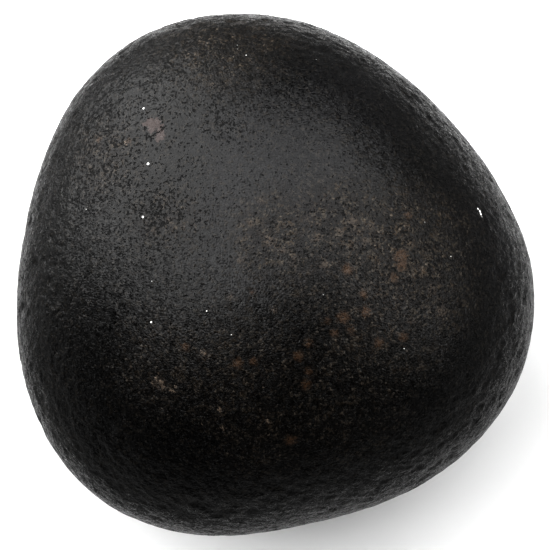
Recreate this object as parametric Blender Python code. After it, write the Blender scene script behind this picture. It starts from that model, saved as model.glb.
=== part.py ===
"""A diorite hammerstone: one fist-sized cobble with a rounded triangular plan.

Its upper face and underside are worn smooth and slightly domed. A battered side runs all the
way round between two soft shoulders, and the underside is ground to a small flat, which the
stone rests on. +Z is up, +Y is the stone's longest way across, and the origin is at the centre
of its bounding box's bottom.

The surface is star-shaped: from the middle of the stone, each direction meets it once. Every
point starts on a cube's grid, moves out along its own direction onto a superellipsoid whose
equator is the plan outline, and is then shifted by the broad swells and by the dents.
"""

import math

import bmesh
import bpy
from mathutils import Vector, noise

MM = 0.001

# The plan outline, in millimetres: a circle with a few soft lobes.
PLAN_RADIUS = 44.2
PLAN_LOBES = (  # lobes in a turn, swell, azimuth of one crest in degrees
    (2, 0.42, -64),
    (3, 2.33, -12),
    (4, 0.33, -38),
    (6, 0.13, 9),
)

# The side profile.
CROWN_HEIGHT = 32.1  # from the widest level up to the crown
KEEL_HEIGHT = 32.0  # from the widest level down to where the underside would end if it weren't ground
GROUND_OFF = 1.5  # taken off the underside by the flat
SQUARENESS = 2.04  # the superellipse's power: 2 is an ellipse, and more gives flatter faces
CROWN_LEAN = 0.07  # rise of the upper face for each millimetre towards LEAN_AZIMUTH
LEAN_AZIMUTH = 10

# Broad swells and worn hollows.
SWELLS = (  # azimuth, elevation, half-width (all in degrees), height in millimetres
    (38, 40, 24, -0.85),
    (178, 45, 22, 0.95),
    (232, 30, 24, -0.2),
    (0, 65, 26, 0.7),
    (90, 65, 26, -1.0),
    (80, -38, 26, -1.0),
    (200, -34, 24, 0.9),
    (318, -42, 28, -0.8),
)

# Fine unevenness: wavelength, height on the worn faces, height on the battered side.
WAVES = (
    (27.0, 0.05, 0.25),
    (12.0, 0.04, 0.22),
    (6.5, 0.02, 0.15),
)
WAVE_OFFSET = Vector((31.7, 12.9, 47.3))  # picks the patch of the noise field that shapes the stone
BATTERED_UP_TO = 0.30  # sine of the elevation where the battered side is at its roughest
BATTERED_ENDS = 0.62  # sine of the elevation where it has given way to the worn face

GRID = 26  # cells along each edge of the starting cube

STONE_COLOUR = (0.020, 0.019, 0.018, 1.0)
STONE_ROUGHNESS = 0.45


def plan_radius(azimuth):
    """Distance from the axis to the outline, as seen from above."""
    swell = sum(
        height * math.cos(count * (azimuth - math.radians(crest)))
        for count, height, crest in PLAN_LOBES
    )
    return PLAN_RADIUS + swell


def superellipsoid(direction):
    """Where a ray from the middle meets the plain form, in millimetres."""
    azimuth = math.atan2(direction.y, direction.x)
    flat = math.hypot(direction.x, direction.y)
    half_height = CROWN_HEIGHT if direction.z > 0 else KEEL_HEIGHT
    across = flat / plan_radius(azimuth)
    upright = abs(direction.z) / half_height
    return direction * (across**SQUARENESS + upright**SQUARENESS) ** (-1 / SQUARENESS)


def smoothstep(low, high, value):
    t = min(1.0, max(0.0, (value - low) / (high - low)))
    return t * t * (3 - 2 * t)


def unit_vector(azimuth_deg, elevation_deg):
    azimuth, elevation = math.radians(azimuth_deg), math.radians(elevation_deg)
    flat = math.cos(elevation)
    return Vector((flat * math.cos(azimuth), flat * math.sin(azimuth), math.sin(elevation)))


def swell_height(direction):
    total = 0.0
    for azimuth, elevation, half_width, height in SWELLS:
        angle = direction.angle(unit_vector(azimuth, elevation))
        total += height * math.exp(-((angle / math.radians(half_width)) ** 2))
    return total


def dent_height(direction, point):
    """The fine unevenness, which is stronger on the battered side."""
    battered = 1 - smoothstep(BATTERED_UP_TO, BATTERED_ENDS, abs(direction.z))
    total = 0.0
    for wavelength, worn, rough in WAVES:
        height = worn + (rough - worn) * battered
        total += height * noise.noise(point / wavelength + WAVE_OFFSET)
    return total


def crown_lean(point):
    """The upper face rises a little towards one side. The widest level stays where it is."""
    towards = unit_vector(LEAN_AZIMUTH, 0)
    share = smoothstep(0, CROWN_HEIGHT, point.z)
    return Vector((0, 0, CROWN_LEAN * point.dot(towards) * share))


def surface_point(direction):
    point = superellipsoid(direction)
    point += direction * (swell_height(direction) + dent_height(direction, point))
    return point + crown_lean(point)


def cube_direction(corner):
    """A point of the cube's grid as a direction, with the cells kept even in angle."""
    return Vector(math.tan(c * math.pi / 4) for c in corner).normalized()


def stone_mesh():
    bm = bmesh.new()
    bmesh.ops.create_cube(bm, size=2)
    bmesh.ops.subdivide_edges(bm, edges=bm.edges[:], cuts=GRID - 1, use_grid_fill=True)
    for vertex in bm.verts:
        vertex.co = surface_point(cube_direction(vertex.co))
    grind_flat(bm)
    stand_on_origin(bm)
    bmesh.ops.recalc_face_normals(bm, faces=bm.faces[:])
    mesh = bpy.data.meshes.new("hammerstone")
    bm.to_mesh(mesh)
    bm.free()
    mesh.shade_smooth()
    mesh.set_sharp_from_angle(angle=math.radians(40))
    return mesh


def grind_flat(bm):
    """Cuts the underside level and closes the cut with one flat face."""
    level = min(v.co.z for v in bm.verts) + GROUND_OFF
    cut = bmesh.ops.bisect_plane(
        bm,
        geom=bm.verts[:] + bm.edges[:] + bm.faces[:],
        plane_co=(0, 0, level),
        plane_no=(0, 0, -1),
        clear_outer=True,
    )
    rim = [e for e in cut["geom_cut"] if isinstance(e, bmesh.types.BMEdge)]
    bmesh.ops.holes_fill(bm, edges=rim)


def stand_on_origin(bm):
    """Moves the stone over the origin, standing on Z = 0, and turns millimetres into metres."""
    low = Vector(min(v.co[axis] for v in bm.verts) for axis in range(3))
    high = Vector(max(v.co[axis] for v in bm.verts) for axis in range(3))
    foot = Vector(((low.x + high.x) / 2, (low.y + high.y) / 2, low.z))
    for vertex in bm.verts:
        vertex.co = (vertex.co - foot) * MM


def stone_material():
    material = bpy.data.materials.new("diorite")
    material.use_nodes = True
    shader = material.node_tree.nodes["Principled BSDF"]
    shader.inputs["Base Color"].default_value = STONE_COLOUR
    shader.inputs["Roughness"].default_value = STONE_ROUGHNESS
    shader.inputs["Metallic"].default_value = 0.0
    material.diffuse_color = STONE_COLOUR
    return material


def clear_scene():
    for leftover in bpy.data.objects[:]:
        bpy.data.objects.remove(leftover)


def main():
    clear_scene()
    stone = bpy.data.objects.new("hammerstone", stone_mesh())
    stone.data.materials.append(stone_material())
    bpy.context.scene.collection.objects.link(stone)


main()
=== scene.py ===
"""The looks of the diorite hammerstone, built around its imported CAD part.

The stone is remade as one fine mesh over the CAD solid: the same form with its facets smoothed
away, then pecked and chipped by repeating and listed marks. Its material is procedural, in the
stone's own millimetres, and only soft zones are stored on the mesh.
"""
import math
from functools import reduce

import bmesh
import bpy
import numpy as np
from mathutils import Matrix, Vector, noise
from mathutils.bvhtree import BVHTree


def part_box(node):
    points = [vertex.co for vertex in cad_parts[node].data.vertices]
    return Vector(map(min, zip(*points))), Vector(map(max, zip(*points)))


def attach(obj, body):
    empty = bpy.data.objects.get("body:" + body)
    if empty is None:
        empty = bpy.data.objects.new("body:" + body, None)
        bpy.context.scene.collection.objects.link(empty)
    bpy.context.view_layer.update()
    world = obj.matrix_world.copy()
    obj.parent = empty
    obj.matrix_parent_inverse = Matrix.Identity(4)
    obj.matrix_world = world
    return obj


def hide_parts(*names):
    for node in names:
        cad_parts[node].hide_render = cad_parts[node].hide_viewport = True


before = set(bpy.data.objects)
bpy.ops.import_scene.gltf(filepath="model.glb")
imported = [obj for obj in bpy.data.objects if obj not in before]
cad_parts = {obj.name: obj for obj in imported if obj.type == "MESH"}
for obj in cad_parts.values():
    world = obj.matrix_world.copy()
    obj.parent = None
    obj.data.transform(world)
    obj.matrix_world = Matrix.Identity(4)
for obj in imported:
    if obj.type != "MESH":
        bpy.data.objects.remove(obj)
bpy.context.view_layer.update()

MM = 0.001
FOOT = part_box("hammerstone")[0].z
WIDEST_LEVEL = 30.5 * MM  # above the foot
MIDDLE = Vector((0, 0, FOOT + WIDEST_LEVEL))

# ---------------------------------------------------------------- the stone's form

CELLS = 128  # along each edge of the cube whose grid is cast onto the stone
SMOOTHING_ROUNDS = 30  # enough to lose the CAD solid's facets, and little of its form
SKIN_DEPTH = 0.05  # mm the whole skin lies under the smoothed form, inside the CAD solid's box

BATTERED_UP_TO = 0.34  # sine of the elevation where the battered side is at its roughest
BATTERED_ENDS = 0.66  # sine of the elevation where it has given way to the worn faces
SHOULDER_WANDER = (9.0, 0.10)  # wavelength (mm) and reach of the wander of the side's edges

# Pecks: bowl-shaped dents in cells of one size. Cell size, depth on the worn faces, depth on the
# battered side (all mm), and the share of the cells that hold a peck.
PECKS = (
    (4.6, 0.02, 0.20, 0.55),
    (2.3, 0.02, 0.20, 0.60),
    (1.5, 0.02, 0.14, 0.60),
)
PECK_REACH = (0.38, 0.22)  # the smallest peck's radius, and what the largest has more, in cells
# Unevenness: wavelength, height on the worn faces, height on the battered side (mm).
WAVES = (
    (3.4, 0.020, 0.060),
    (1.6, 0.012, 0.055),
)
WAVE_LOWERED = 0.5  # of a wave's height, so that most of it lies inwards
# Chips and old scars, each a shallow hollow: azimuth, elevation (degrees from the middle of the
# stone), radius and depth (mm).
CHIPS = (
    (213, 3, 2.8, 0.50),
    (14, 26, 1.1, 0.15),
    (66, -4, 3.0, 0.35),
    (128, -18, 3.6, 0.45),
    (170, 4, 2.2, 0.30),
    (262, -8, 3.2, 0.40),
    (305, 3, 2.4, 0.30),
    (338, -20, 3.8, 0.50),
    (96, -52, 3.0, 0.30),
    (230, -48, 3.4, 0.35),
)
CHIP_RAGGED = (2.2, 0.35)  # wavelength (mm) and reach, in radii, of the rim's raggedness
CHIP_FLOOR = 0.50  # the share of a chip's radius that is at its full depth

# Each seed moves a noise by this much, in its own wavelengths or cells.
WAVE_SEED_STEP = (17.3, 5.9, 29.1)
PECK_SEED_STEP = (11.7, 23.1, 7.7)
CHANCE_SCALE = 91.7  # sends neighbouring cells' centres to unrelated values


def smoothstep(low, high, value):
    t = np.clip((value - low) / (high - low), 0, 1)
    return t * t * (3 - 2 * t)


def unit_vector(azimuth, elevation):
    a, e = math.radians(azimuth), math.radians(elevation)
    return np.array((math.cos(e) * math.cos(a), math.cos(e) * math.sin(a), math.sin(e)))


def cast_grid():
    """A cube's grid, cast onto the CAD solid from all round. Vertices are relative to MIDDLE."""
    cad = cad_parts["hammerstone"].data
    corners = [v.co.copy() for v in cad.vertices]
    solid = BVHTree.FromPolygons(corners, [tuple(p.vertices) for p in cad.polygons])
    bm = bmesh.new()
    bmesh.ops.create_cube(bm, size=2)
    bmesh.ops.subdivide_edges(bm, edges=bm.edges[:], cuts=CELLS - 1, use_grid_fill=True)
    for v in bm.verts:
        outward = Vector([math.tan(c * math.pi / 4) for c in v.co]).normalized()
        v.co = solid.ray_cast(MIDDLE + outward, -outward)[0] - MIDDLE
    bmesh.ops.recalc_face_normals(bm, faces=bm.faces[:])
    mesh = bpy.data.meshes.new("stone")
    bm.to_mesh(mesh)
    bm.free()
    mesh.shade_smooth()
    return mesh


def points_of(mesh):
    flat = np.empty(len(mesh.vertices) * 3)
    mesh.vertices.foreach_get("co", flat)
    return flat.reshape(-1, 3)


def normals_of(mesh):
    flat = np.empty(len(mesh.vertices) * 3, np.float32)
    mesh.vertex_normals.foreach_get("vector", flat)
    return flat.reshape(-1, 3).astype(float)


def move_to(mesh, points):
    mesh.vertices.foreach_set("co", points.ravel())
    mesh.update()


def relax(mesh, values, rounds):
    """Evens out a value over the mesh, each vertex moving towards its neighbours' mean."""
    ends = np.empty(len(mesh.edges) * 2, int)
    mesh.edges.foreach_get("vertices", ends)
    a, b = ends.reshape(-1, 2).T
    count = len(mesh.vertices)
    degree = np.bincount(ends, minlength=count)
    for _ in range(rounds):
        total = np.bincount(a, values[b], count) + np.bincount(b, values[a], count)
        values = 0.5 * values + 0.5 * total / degree
    return values


def wave(points, wavelength, seed):
    offset = Vector([seed * step for step in WAVE_SEED_STEP])
    return np.array([noise.noise(Vector(p) / wavelength + offset) for p in points])


def pecks(points, size, share, seed):
    """0 outside the pecks, and up to 1 in the middle of each."""
    offset = Vector([seed * step for step in PECK_SEED_STEP])
    smallest, spread = PECK_REACH
    depth = np.zeros(len(points))
    for i, p in enumerate(points):
        distances, centres = noise.voronoi(Vector(p) / size + offset)
        chance = noise.cell(centres[0] * CHANCE_SCALE)
        if chance < share:
            reach = smallest + spread * chance / share
            depth[i] = max(0.0, 1 - (distances[0] / reach) ** 2)
    return depth


mesh = cast_grid()
points = points_of(mesh)
radius = np.linalg.norm(points, axis=1)
outward = points / radius[:, None]
points = outward * relax(mesh, radius, SMOOTHING_ROUNDS)[:, None] + np.array(MIDDLE)
move_to(mesh, points)
normal = normals_of(mesh)

spots = points / MM  # millimetres, for everything that follows
wander, wander_reach = SHOULDER_WANDER
steepness = np.abs(outward[:, 2]) + wander_reach * wave(spots, wander, seed=1)
battered = 1 - smoothstep(BATTERED_UP_TO, BATTERED_ENDS, steepness)

height = np.full(len(spots), -SKIN_DEPTH)
for index, (wavelength, worn, rough) in enumerate(WAVES):
    rise = wave(spots, wavelength, seed=2 + index) - WAVE_LOWERED
    height += (worn + (rough - worn) * battered) * rise
for index, (size, worn, rough, share) in enumerate(PECKS):
    height -= (worn + (rough - worn) * battered) * pecks(spots, size, share, seed=5 + index)
ragged_wavelength, ragged_reach = CHIP_RAGGED
raggedness = wave(spots, ragged_wavelength, seed=9)
for azimuth, elevation, reach, depth in CHIPS:
    centre = spots[np.argmax(outward @ unit_vector(azimuth, elevation))]
    away = np.linalg.norm(spots - centre, axis=1) / reach + ragged_reach * raggedness
    height -= depth * (1 - smoothstep(CHIP_FLOOR, 1.0, away))

points = points + normal * (height * MM)[:, None]
points[:, 2] = np.maximum(points[:, 2], FOOT)
move_to(mesh, points)

stone = bpy.data.objects.new("stone", mesh)
bpy.context.scene.collection.objects.link(stone)

# ---------------------------------------------------------------- soft zones

# On the upper face: x, y, radius (mm) and strength.
PITTED = (
    (-21, 6, 17, 0.55),
    (-20, 23, 14, 0.45),
    (-6, 24, 7, 0.75),
    (-19, 8, 6, 0.80),
    (-27, 12, 6, 0.70),
    (-12, 15, 4, 0.60),
    (12, 26, 12, 0.30),
)
TAN = (
    (23, 1, 12, 1.0),
    (28, -5, 7, 0.7),
    (18, -10, 12, 0.6),
    (6, 1, 9, 0.55),
    (12, -21, 12, 0.45),
    (-4, -19, 12, 0.45),
    (-17, -17, 9, 0.40),
    (-1, -27, 9, 0.40),
    (-27, 18, 7, 0.50),
    (-16, 7, 6, 0.40),
    (2, 4, 8, 0.80),
    (12, 6, 8, 0.80),
    (-8, 39, 12, 0.7),
)
WORN = (
    (2, 13, 17, 1.0),
    (12, 24, 12, 0.7),
    (-4, 2, 10, 0.6),
    (36, 4, 8, 0.6),
)
ZONE_FADE = (0.3, 1.3)  # of its radius, where a zone starts to fade and where it is gone
UPPER_FACE = (0.1, 0.4)  # sine of the elevation where the upper face's zones start, and are full
UNDERSIDE = (0.1, -0.4)  # the same for the underside's

# Each zone's table for the upper face. The underside follows a noise: its wavelength (mm), seed,
# the value it starts to count from, and the zone's strength there.
ZONES = {
    "pitted": (PITTED, 16.0, 12, -0.1, 0.6),
    "tan": (TAN, 19.0, 13, 0.0, 0.7),
    "worn": (WORN, 23.0, 15, 0.0, 0.6),
}
NOISE_FULL = 0.5  # the value from which it counts in full


def store(name, values):
    layer = mesh.attributes.new(name, "FLOAT", "POINT")
    layer.data.foreach_set("value", values.astype(np.float32))


def upper_zones(table):
    total = np.zeros(len(spots))
    for x, y, reach, strength in table:
        away = np.hypot(spots[:, 0] - x, spots[:, 1] - y) / reach
        total = np.maximum(total, strength * (1 - smoothstep(*ZONE_FADE, away)))
    return total * smoothstep(*UPPER_FACE, outward[:, 2])


store("battered", battered)
for name, (table, wavelength, seed, start, strength) in ZONES.items():
    below = strength * smoothstep(start, NOISE_FULL, wave(spots, wavelength, seed))
    below = below * smoothstep(*UNDERSIDE, outward[:, 2])
    store(name, np.maximum(upper_zones(table), below))

# ---------------------------------------------------------------- the stone's material

# Named marks on the upper face: x, y and radius (mm).
SPECKS = (  # white
    (-20.5, 25.8, 0.20), (-19.4, 16.1, 0.24), (-19.8, 7.1, 0.22), (-29.9, 8.9, 0.12),
    (-18.5, -9.7, 0.20), (-18.2, -3.1, 0.10), (-9.3, -8.2, 0.12), (9.5, -5.4, 0.09),
    (22.0, -13.8, 0.14), (29.6, 1.1, 0.12), (24.4, 23.1, 0.14), (25.4, 6.5, 0.10),
    (-5.6, 36.6, 0.12), (-5.3, 35.9, 0.10), (-3.8, 34.5, 0.15), (0.3, 40.0, 0.10),
    (0.7, 38.7, 0.12), (1.1, 37.9, 0.10), (2.1, 37.3, 0.10), (6.9, 37.0, 0.11),
    (7.5, 34.0, 0.10), (-14.3, 32.3, 0.10), (-5.2, -12.0, 0.11), (34.3, 9.3, 0.26),
    (34.6, 9.0, 0.36), (34.8, 8.7, 0.38), (35.0, 8.4, 0.28),
)
FLECKS = (  # pale tan, ragged
    (-9.6, -14.9, 0.30), (-17.7, -18.6, 0.35), (-16.6, -20.1, 0.40), (-15.5, -20.9, 0.40),
    (-10.5, -25.8, 0.25), (-7.5, -23.9, 0.40), (-7.1, -26.8, 0.35), (-0.5, -20.3, 0.22),
    (0.4, -25.5, 0.35), (-11.5, -14.1, 0.22), (22.4, -13.5, 0.25), (18.1, -0.2, 0.25),
    (-17.0, -19.3, 0.35), (-18.2, -19.4, 0.30), (-14.9, -20.6, 0.35), (-10.1, -14.6, 0.30),
    (-23.6, 19.8, 0.30), (-23.1, 19.6, 0.25), (-14.5, -20.2, 0.30), (-17.6, -17.8, 0.25),
)
RUST = (  # reddish brown, soft
    (21.5, 0.6, 1.3), (21.9, -0.8, 1.0), (20.4, -2.4, 0.8), (13.0, -1.5, 0.9),
    (15.6, -5.3, 0.7), (22.8, 7.6, 0.7), (12.6, -9.0, 1.1), (13.6, -11.2, 0.7),
    (11.1, -11.4, 0.7), (6.8, -13.2, 0.7), (-4.4, -16.3, 0.9), (-2.0, -16.0, 0.7),
    (5.4, -15.4, 0.9), (6.4, -19.6, 0.9), (6.9, -17.8, 0.7), (10.1, -9.5, 0.5),
    (18.0, -13.1, 0.8), (22.0, -12.0, 0.8), (16.0, -8.2, 0.9), (-12.8, -13.6, 0.7),
    (3.8, -28.5, 1.0), (-2.0, -5.0, 0.4), (-23.3, 20.2, 0.45), (-22.8, 20.3, 0.40),
    (-28.2, 20.9, 0.55),
)
BLOOMS = (  # pale tan, soft
    (-0.8, 9.8, 0.5), (0.6, 3.2, 0.8), (2.6, 1.7, 0.5), (4.7, 0.4, 0.5),
    (8.3, 3.5, 0.6), (6.5, 6.8, 0.4), (13.9, 6.5, 0.8), (17.0, 5.7, 0.6),
    (12.0, 4.6, 0.5), (15.8, 3.1, 0.5), (-4.0, 0.0, 0.5), (-2.4, 5.8, 0.4),
    (9.4, -0.8, 0.6), (-5.4, -5.8, 0.5), (1.5, -8.0, 0.5), (26.4, -4.4, 0.8),
    (28.0, -7.6, 0.9), (24.8, -1.3, 0.6), (23.2, -9.3, 0.6), (-15.6, 6.6, 0.5),
    (-17.9, 4.8, 0.4), (-13.0, 5.6, 0.4), (-9.6, -14.9, 0.7), (-17.0, -19.6, 1.0),
)
SCAR = (  # pinkish, where a flake came off
    (-20.4, 22.8, 0.50), (-19.3, 23.0, 0.75), (-18.2, 22.9, 0.90), (-17.4, 22.1, 0.80),
    (-17.4, 20.9, 0.80), (-17.8, 20.1, 0.55), (-18.8, 21.9, 0.70),
)
CRACK = ((-19.7, 20.4), (-18.3, 21.1), (-16.9, 22.2))  # x and y of its corners
MARK_WARP = (2.2, 1.6)  # how fine (per mm) and how large (mm) the raggedness of the marks' rims is

# Colours, in linear light. Of each pair, the first is for the grain's dark end.
DARK = (0.0003, 0.0003, 0.0003), (0.0030, 0.0028, 0.0028)
BLUISH = (0.0013, 0.0013, 0.0019), (0.0070, 0.0067, 0.0080)
BROWN = (0.0011, 0.0006, 0.0002), (0.0130, 0.0073, 0.0030)
CRYSTAL = (0.046, 0.039, 0.031), (0.075, 0.065, 0.052)
# pale crystal colour with a painted glint on top
CRYSTAL_GLINT = (0.150, 0.130, 0.108)
OCHRE = (0.060, 0.040, 0.022)
BLOOM_TAN = (0.075, 0.059, 0.046)
RUST_BROWN = (0.070, 0.042, 0.024)
SCAR_PINK = (0.052, 0.037, 0.034)
FLECK_TAN = (0.150, 0.122, 0.098)
# painted shade, for the pits, the pores and the crack
PIT_SHADE = (0.0008, 0.0008, 0.0008)
SPECK_WHITE = (0.85, 0.85, 0.83)

# Noises: the size of the largest grains (mm), the detail, the roughness and, for one, the
# distortion.
GRAIN = (0.30, 1.0, 0.5)
FINE_GRAIN = (0.20, 1.0, 0.6)
MOTTLE = (1.2, 3.0, 0.6)
BLOTCH = (5.0, 3.0, 0.6)
PIT = (0.50, 2.0, 0.55, 0.2)
CLUMP = (1.2, 3.0, 0.70)
PATCH = (2.6, 3.0, 0.6)
DENT = (1.1, 2.0, 0.5)

# Where some values fade from 0 to 1.
GRAIN_SHADE = (0.36, 0.66)
PIT_EDGE = (-0.02, 0.04)
PORE_EDGE = (0.05, -0.07)
PATCH_EDGE = (0.36, 0.64)
PALE_EDGE = (1.86, 2.16)
CRYSTAL_EDGE = (0.80, 0.40)

CRYSTAL_SIZE = 0.42  # mm
CRYSTAL_WARP = (1.9, 0.55)  # how fine (per mm) and how large (mm) their raggedness is
CRYSTAL_TILT = 0.24  # how far the crystals' faces lean, about the tangent of the angle at its most
SMALLEST_PORE = 0.16  # the radius, in cells
PORES = (  # cell size in mm, and the largest pore's radius in cells
    (0.42, 0.40),
    (0.75, 0.33),
)
POLISH = 0.20  # the stone's lowest roughness
PIT_ROUGHNESS = 0.72

material = bpy.data.materials.new("diorite")
material.use_nodes = True
graph = material.node_tree
shader = graph.nodes["Principled BSDF"]


def node(kind, inputs, **settings):
    """Adds a node to graph. inputs maps a socket to a value or to another node's output."""
    made = graph.nodes.new("ShaderNode" + kind)
    for name, value in settings.items():
        setattr(made, name, value)
    for name, value in inputs.items():
        if isinstance(value, bpy.types.NodeSocket):
            graph.links.new(value, made.inputs[name])
        else:
            made.inputs[name].default_value = value
    return made


def math_node(operation, a, b, clamp=False):
    return node("Math", {0: a, 1: b}, operation=operation, use_clamp=clamp).outputs[0]


def add(*values):
    return reduce(lambda a, b: math_node("ADD", a, b), values)


def times(*values):
    return reduce(lambda a, b: math_node("MULTIPLY", a, b), values)


def larger(*values):
    return reduce(lambda a, b: math_node("MAXIMUM", a, b), values)


def smaller(*values):
    return reduce(lambda a, b: math_node("MINIMUM", a, b), values)


def minus(a, b):
    return math_node("SUBTRACT", a, b)


def ramp(value, low, high, start=0.0, end=1.0):
    inputs = {0: value, 1: low, 2: high, 3: start, 4: end}
    return node("MapRange", inputs, interpolation_type="SMOOTHSTEP").outputs[0]


def mix(factor, a, b):
    a, b = (c if isinstance(c, bpy.types.NodeSocket) else (*c, 1) for c in (a, b))
    return node("Mix", {0: factor, 6: a, 7: b}, data_type="RGBA").outputs[2]


def vector_math(operation, a, b=(0, 0, 0), output="Vector"):
    return node("VectorMath", {0: a, 1: b}, operation=operation).outputs[output]


def scaled(vector, factor):
    return node("VectorMath", {0: vector, 3: factor}, operation="SCALE").outputs[0]


def centred(colour):
    """A random colour as a random vector round zero."""
    return vector_math("SUBTRACT", colour, (0.5, 0.5, 0.5))


def attribute(name):
    return node("Attribute", {}, attribute_name=name).outputs["Fac"]


def noise_node(vector, scale, detail, roughness, distortion=0.0):
    inputs = {
        "Vector": vector,
        "Scale": scale,
        "Detail": detail,
        "Roughness": roughness,
        "Distortion": distortion,
    }
    return node("TexNoise", inputs)


def fbm(vector, size, detail, roughness, distortion=0.0):
    """Noise whose largest grains are about size millimetres."""
    return noise_node(vector, 1 / size, detail, roughness, distortion).outputs["Fac"]


def warped(vector, scale, reach):
    """Shifts places by a noise, which bends straight and round shapes. reach is in millimetres."""
    shift = noise_node(vector, scale, 2.0, 0.6).outputs["Color"]
    return vector_math("ADD", vector, scaled(centred(shift), reach))


def cells(vector, size):
    """A mosaic: the distance to the cell's middle, and the cell's own random colour."""
    made = node("TexVoronoi", {"Vector": vector, "Scale": 1 / size, "Randomness": 1.0})
    return made.outputs["Distance"], made.outputs["Color"]


def channels(colour):
    return tuple(node("SeparateColor", {0: colour}).outputs)


def on_top(x, y):
    """The point of the upper face over x and y, in millimetres."""
    away = np.hypot(spots[:, 0] - x, spots[:, 1] - y) + 100 * (outward[:, 2] < 0)
    return tuple(spots[np.argmin(away)])


def marks(vector, table, outside, inside):
    """Round marks, which fade between two distances past their rims, in millimetres."""
    rims = [
        minus(vector_math("DISTANCE", vector, on_top(x, y), "Value"), radius)
        for x, y, radius in table
    ]
    return ramp(smaller(*rims), outside, inside)


def line_distance(vector, start, end):
    """The distance to a straight line between two points."""
    along = Vector(end) - Vector(start)
    offset = vector_math("SUBTRACT", vector, start)
    share = vector_math("DOT_PRODUCT", offset, tuple(along / along.length_squared), "Value")
    share = math_node("MULTIPLY", share, 1.0, clamp=True)
    return vector_math("DISTANCE", offset, scaled(tuple(along), share), "Value")


mm = scaled(node("TexCoord", {}).outputs["Object"], 1 / MM)
side, pitted, tan, worn = (attribute(name) for name in ("battered", "pitted", "tan", "worn"))

grain = fbm(mm, *GRAIN)
fine_grain = fbm(mm, *FINE_GRAIN)
mottle = fbm(mm, *MOTTLE)
blotch = fbm(mm, *BLOTCH)
crystal_middle, crystal_colour = cells(warped(mm, *CRYSTAL_WARP), CRYSTAL_SIZE)
crystal_chance, crystal_tint, crystal_polish = channels(crystal_colour)

ragged = warped(mm, *MARK_WARP)
specks = marks(mm, SPECKS, 0.05, -0.08)
flecks = marks(ragged, FLECKS, 0.10, -0.15)
rust = marks(ragged, RUST, 0.4, -0.7)
blooms = marks(ragged, BLOOMS, 0.5, -0.6)
scar = marks(ragged, SCAR, 0.12, -0.10)
corners = [on_top(x, y) for x, y in CRACK]
crack = smaller(*(line_distance(ragged, a, b) for a, b in zip(corners, corners[1:])))
crack = ramp(crack, 0.30, 0.10)

# How much of its fine texture the surface has kept. The worn zones have the least.
texture = add(minus(0.86, times(worn, 0.20)), times(larger(tan, pitted), 0.28))

# Pits: where a noise is low, sunk in the relief and darkened with painted shade.
# Zones with many pits let more of it through.
pit_level = add(
    0.225,
    times(pitted, 0.095),
    times(tan, 0.105),
    times(blotch, 0.18),
    times(side, 0.06),
    times(worn, -0.03),
)
pits = ramp(minus(pit_level, fbm(mm, *PIT)), *PIT_EDGE)

# Pores: one ragged dot, black with painted shade, in some of the cells of two mosaics.
pore_share = add(0.04, times(pitted, 0.24), times(blotch, pitted, 0.25))
for size, largest in PORES:
    distance, colour = cells(warped(mm, 1 / size, size), size)
    chance, spread, _ = channels(colour)
    reach = add(SMALLEST_PORE, times(spread, largest - SMALLEST_PORE))
    pores = times(
        math_node("LESS_THAN", chance, pore_share),
        ramp(minus(distance, reach), *PORE_EDGE),
    )
    pits = larger(pits, pores)
pits = times(pits, minus(1.0, larger(scar, times(rust, 0.7))))
# The crack joins the pits, so it takes their relief and their painted shade.
pits = larger(pits, crack)

# Pale crystals: whole cells of the crystals' mosaic, in loose clusters.
clump = fbm(mm, *CLUMP)
patches = times(tan, ramp(fbm(mm, *PATCH), *PATCH_EDGE))
pale = ramp(add(crystal_chance, times(clump, 2.4), times(patches, 0.30)), *PALE_EDGE)
pale = times(pale, ramp(crystal_middle, *CRYSTAL_EDGE))
# Pale crystals in the patches whose polish value is high: part pale crystal, part painted glint.
glinting_crystals = times(pale, patches, ramp(crystal_polish, 0.78, 0.92))
ochre = times(ramp(clump, 0.50, 0.64), patches, ramp(grain, 0.34, 0.60))

shade = ramp(grain, *GRAIN_SHADE)
base = mix(worn, mix(shade, *DARK), mix(shade, *BLUISH))
base = mix(add(times(tan, 0.45), times(patches, 0.45)), base, mix(shade, *BROWN))
layers = (  # how much of each colour covers what is under it
    (times(pale, add(0.36, times(tan, 0.46))), mix(times(crystal_tint, tan), *CRYSTAL)),
    # pale crystals brightened by a painted glint
    (times(glinting_crystals, 0.7), CRYSTAL_GLINT),
    (times(ochre, 0.6), OCHRE),
    (times(blooms, ramp(grain, 0.30, 0.62, 0.15, 0.75)), BLOOM_TAN),
    (times(rust, ramp(grain, 0.20, 0.56, 0.25, 0.90)), RUST_BROWN),
    (times(scar, 0.8), SCAR_PINK),
    (times(flecks, 0.8), FLECK_TAN),
    # painted shade in the pits, the pores and the crack
    (times(pits, 0.9), PIT_SHADE),
    (specks, SPECK_WHITE),
)
for cover, colour in layers:
    base = mix(cover, base, colour)

# Height, in millimetres.
relief = add(
    times(grain, 0.045),
    times(crystal_middle, -0.05),
    times(fine_grain, 0.04),
    times(mottle, 0.05),
)
relief = add(
    times(relief, texture),
    times(pits, -0.10),
    times(side, fbm(mm, *DENT), 0.34),
)

# Each crystal's face leans its own way, least on the battered side.
lean = times(add(texture, times(side, -0.35)), CRYSTAL_TILT)
flat = node("NewGeometry", {}).outputs["Normal"]
facing = vector_math("ADD", flat, scaled(centred(crystal_colour), lean))
facing = vector_math("NORMALIZE", facing)
bump = node("Bump", {"Strength": 1.0, "Distance": MM, "Height": relief, "Normal": facing})

dull = add(times(ramp(grain, 0.38, 0.64), 0.4), times(crystal_polish, 0.6))
roughness = add(POLISH, times(tan, 0.15), times(dull, texture, 0.26))
roughness = larger(roughness, times(pits, PIT_ROUGHNESS))

graph.links.new(base, shader.inputs["Base Color"])
graph.links.new(roughness, shader.inputs["Roughness"])
graph.links.new(bump.outputs["Normal"], shader.inputs["Normal"])
shader.inputs["Specular IOR Level"].default_value = 0.5
mesh.materials.append(material)

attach(stone, "root")
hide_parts("hammerstone")

# ---------------------------------------------------------------- the stage

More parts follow.
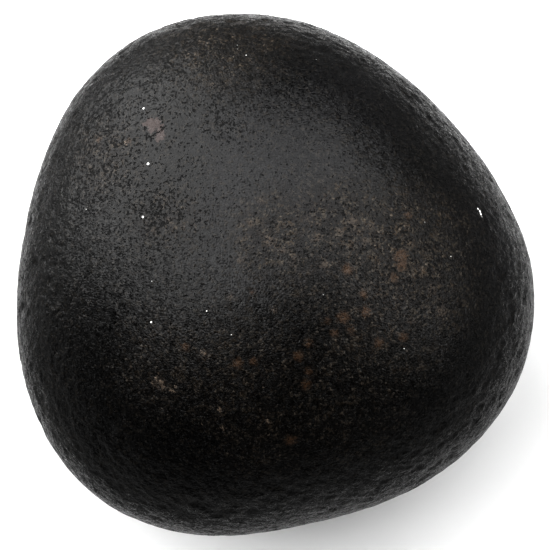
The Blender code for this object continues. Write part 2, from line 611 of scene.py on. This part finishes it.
CONTRAST = 1.7  # the power of the picture's tone curve
FLOOR_RADIUS = 77 * MM
FLOOR_WHITE = 0.85
ROOM_GREY = 0.78  # the room's brightness below the horizon
ROOM_ABOVE = 0.02  # what is left of it above
HORIZON = (-0.15, 0.20)  # sine of the elevation where the grey starts to fade, and where it ends
# The softboxes all face the stone: azimuth, elevation (degrees), distance, width, height (m), roll
# (degrees) and brightness, where 1 is a white wall in full light.
SOFTBOXES = {
    "key": (137.7, 32.9, 0.399, 0.535, 0.751, -3, 5.09),
    "back": (27.0, 47.3, 0.883, 1.624, 0.708, -6, 4.65),
    "top": (202.9, 66.7, 0.700, 0.200, 0.355, 0, 4.63),
}
CAMERA_DISTANCE = 0.5
CAMERA_AZIMUTH = -54.0
CAMERA_ELEVATION = 85.0
CAMERA_SHIFT = -0.0018  # upwards, in picture widths
FRAME_WIDTH = 93.4 * MM  # of the plane through the stone's middle
SENSOR_WIDTH = 36

bpy.ops.mesh.primitive_circle_add(vertices=128, radius=FLOOR_RADIUS, fill_type="NGON")
floor = bpy.context.object
floor.name = "floor"
paint = bpy.data.materials.new("floor")
paint.use_nodes = True
paint_shader = paint.node_tree.nodes["Principled BSDF"]
paint_shader.inputs["Base Color"].default_value = (FLOOR_WHITE, FLOOR_WHITE, FLOOR_WHITE, 1)
paint_shader.inputs["Specular IOR Level"].default_value = 0.0
paint_shader.inputs["Roughness"].default_value = 1.0
floor.data.materials.append(paint)

scene = bpy.context.scene
scene.view_settings.view_transform = "Standard"
scene.view_settings.gamma = 1 / CONTRAST
world = bpy.data.worlds.new("studio")
scene.world = world
world.use_nodes = True
graph = world.node_tree  # node() adds to the room's nodes from here on
room = graph.nodes["Background"]
rise = node("SeparateXYZ", {0: node("TexCoord", {}).outputs["Generated"]}).outputs["Z"]
graph.links.new(ramp(rise, *HORIZON, 1.0, ROOM_ABOVE), room.inputs["Color"])
room.inputs["Strength"].default_value = ROOM_GREY

for name, (azimuth, elevation, distance, width, tall, roll, brightness) in SOFTBOXES.items():
    light = bpy.data.lights.new(name, "AREA")
    light.shape = "RECTANGLE"
    light.size, light.size_y = width, tall
    light.energy = math.pi * width * tall * brightness
    lamp = bpy.data.objects.new(name, light)
    scene.collection.objects.link(lamp)
    lamp.location = MIDDLE + distance * Vector(unit_vector(azimuth, elevation))
    lamp.rotation_euler = (MIDDLE - lamp.location).to_track_quat("-Z", "Y").to_euler()
    lamp.rotation_euler.rotate_axis("Z", math.radians(roll))

camera = bpy.data.objects.new("camera", bpy.data.cameras.new("camera"))
scene.collection.objects.link(camera)
scene.camera = camera
camera.data.sensor_width = SENSOR_WIDTH
camera.data.lens = SENSOR_WIDTH * CAMERA_DISTANCE / FRAME_WIDTH
camera.data.shift_y = CAMERA_SHIFT
backwards = Vector(unit_vector(CAMERA_AZIMUTH, CAMERA_ELEVATION))
right = (Vector((1, 0, 0)) - backwards * backwards.x).normalized()
turn = Matrix((right, backwards.cross(right), backwards)).transposed().to_4x4()
camera.matrix_world = Matrix.Translation(MIDDLE + CAMERA_DISTANCE * backwards) @ turn
